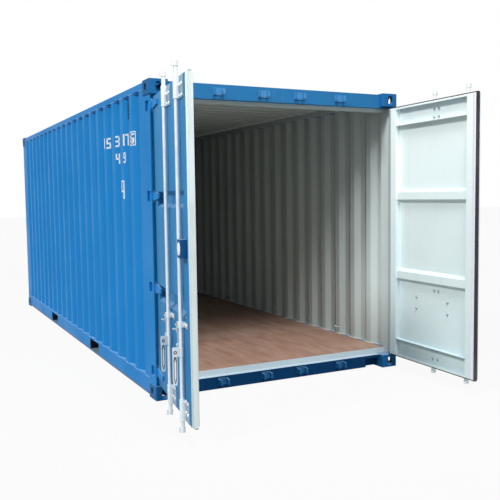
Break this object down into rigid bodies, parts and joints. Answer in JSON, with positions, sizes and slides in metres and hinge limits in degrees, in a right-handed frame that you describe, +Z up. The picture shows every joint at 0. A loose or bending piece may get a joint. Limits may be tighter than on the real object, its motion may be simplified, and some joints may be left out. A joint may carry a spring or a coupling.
{
  "type": "dry freight shipping container",
  "caption": "Steel dry freight container with corrugated walls, plywood floor, corner castings, fork pockets and end doors that swing on pins and lock with cam rods.",
  "frame": {"origin": "on the ground, at the middle of the four bottom corner casting slots", "axes": "+X along the length towards the door end, +Y towards the right hand side wall seen from the door end's inside, +Z up"},
  "size_m": [7.213, 2.6727, 2.591],
  "materials": {
    "blue_paint": "satin",
    "pale_paint": "satin",
    "dark_underframe_paint": "matte",
    "galvanised_steel": "dull zinc",
    "door_rubber": "matte",
    "plywood": "worn varnish"
  },
  "bodies": {
    "container": {"bottom_corner_castings": "blue_paint", "cross_members": "dark_underframe_paint", "door_header": "blue_paint", "door_sill": "blue_paint", "floor": "plywood", "fork_pockets": "dark_underframe_paint", "front_bottom_rail": "blue_paint", "front_top_rail": "blue_paint", "front_wall": "blue_paint", "header_keepers": "blue_paint", "lashing_rings": "pale_paint", "left_bottom_side_rail": "blue_paint", "left_door_post": "blue_paint", "left_front_post": "blue_paint", "left_side_wall": "blue_paint", "right_bottom_side_rail": "blue_paint", "right_door_post": "blue_paint", "right_front_post": "blue_paint", "right_side_wall": "blue_paint", "roof": "blue_paint", "sill_keepers": "blue_paint", "top_corner_castings": "blue_paint", "top_side_rails": "blue_paint", "ventilators": "blue_paint"},
    "left_door": {"left_door_frame": "blue_paint", "left_door_handle_retainers": "galvanised_steel", "left_door_hinges": "blue_paint", "left_door_lock_box": "blue_paint", "left_door_panel": "blue_paint", "left_door_rod_brackets": "galvanised_steel", "left_door_seal": "door_rubber"},
    "left_outer_rod": {"left_outer_rod": "galvanised_steel"},
    "left_outer_handle": {"left_outer_handle": "galvanised_steel"},
    "left_inner_rod": {"left_inner_rod": "galvanised_steel"},
    "left_inner_handle": {"left_inner_handle": "galvanised_steel"},
    "right_door": {"right_door_frame": "blue_paint", "right_door_handle_retainers": "galvanised_steel", "right_door_hinges": "blue_paint", "right_door_panel": "blue_paint", "right_door_rod_brackets": "galvanised_steel", "right_door_seal": "door_rubber"},
    "right_outer_rod": {"right_outer_rod": "galvanised_steel"},
    "right_outer_handle": {"right_outer_handle": "galvanised_steel"},
    "right_inner_rod": {"right_inner_rod": "galvanised_steel"},
    "right_inner_handle": {"right_inner_handle": "galvanised_steel"}
  },
  "joints": [
    {"name": "left_door_hinge", "type": "hinge", "parent": "container", "child": "left_door", "pos_m": [2.993, -1.198, 1.3], "axis": [0, 0, -1], "range_deg": [-99, 162]},
    {"name": "left_outer_rod_turn", "type": "hinge", "parent": "left_door", "child": "left_outer_rod", "pos_m": [3.58223, -1.30044, 1.3], "axis": [0, 0, 1], "range_deg": [-90, 0]},
    {"name": "left_outer_handle_pivot", "type": "hinge", "parent": "left_outer_rod", "child": "left_outer_handle", "pos_m": [3.57519, -1.34488, 0.612], "axis": [0.9877, -0.1564, 0], "range_deg": [-90, 0]},
    {"name": "left_inner_rod_turn", "type": "hinge", "parent": "left_door", "child": "left_inner_rod", "pos_m": [3.99706, -1.36614, 1.3], "axis": [0, 0, 1], "range_deg": [-90, 0]},
    {"name": "left_inner_handle_pivot", "type": "hinge", "parent": "left_inner_rod", "child": "left_inner_handle", "pos_m": [3.99002, -1.41058, 0.612], "axis": [0.9877, -0.1564, 0], "range_deg": [-90, 0]},
    {"name": "right_door_hinge", "type": "hinge", "parent": "container", "child": "right_door", "pos_m": [2.993, 1.198, 1.3], "axis": [0, 0, 1], "range_deg": [-87.8, 173.2]},
    {"name": "right_outer_rod_turn", "type": "hinge", "parent": "right_door", "child": "right_outer_rod", "pos_m": [3.5909, 1.18404, 1.3], "axis": [0, 0, -1], "range_deg": [-90, 0]},
    {"name": "right_outer_handle_pivot", "type": "hinge", "parent": "right_outer_rod", "child": "right_outer_handle", "pos_m": [3.59263, 1.229, 0.612], "axis": [-0.9993, 0.0384, 0], "range_deg": [-90, 0]},
    {"name": "right_inner_rod_turn", "type": "hinge", "parent": "right_door", "child": "right_inner_rod", "pos_m": [4.0106, 1.16792, 1.3], "axis": [0, 0, -1], "range_deg": [-90, 0]},
    {"name": "right_inner_handle_pivot", "type": "hinge", "parent": "right_inner_rod", "child": "right_inner_handle", "pos_m": [4.01232, 1.21288, 0.612], "axis": [-0.9993, 0.0384, 0], "range_deg": [-90, 0]}
  ]
}
